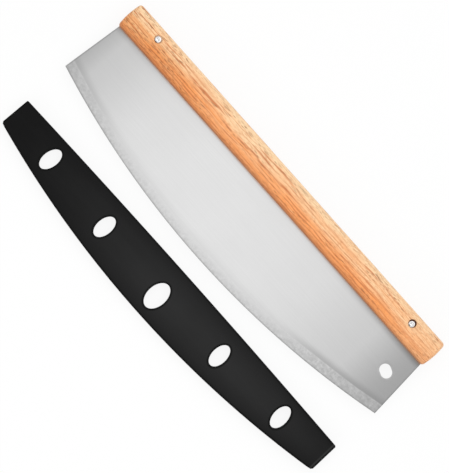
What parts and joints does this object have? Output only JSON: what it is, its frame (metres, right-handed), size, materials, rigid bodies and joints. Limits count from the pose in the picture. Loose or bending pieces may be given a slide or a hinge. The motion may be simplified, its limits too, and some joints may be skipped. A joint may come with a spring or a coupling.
{
  "type": "rocking pizza knife",
  "caption": "Rocking pizza knife: a long curved steel blade riveted into a wooden bar handle, with a slotted plastic blade sheath that pulls straight off.",
  "frame": {"origin": "centre of the handle's flat back face", "axes": "+X along the handle towards the end with the hanging hole, +Y from the cutting edge to the top of the handle, +Z out of the blade's front face"},
  "size_m": [0.355, 0.1586, 0.02],
  "materials": {
    "handle_wood": "oiled, fine open pores",
    "blade_steel": "satin, ground bevel",
    "rivet_metal": "bright, lightly scuffed",
    "sheath_plastic": "satin moulded"
  },
  "bodies": {
    "knife": {"handle": "handle_wood", "blade": "blade_steel", "left_rivet_socket": "rivet_metal", "left_rivet_pin": "rivet_metal", "right_rivet_socket": "rivet_metal", "right_rivet_pin": "rivet_metal"},
    "sheath": {"sheath": "sheath_plastic"}
  },
  "joints": [
    {"name": "sheath_slide", "type": "slide", "parent": "knife", "child": "sheath", "axis": [0, 1, 0], "range_m": [0, 0.0591]}
  ]
}
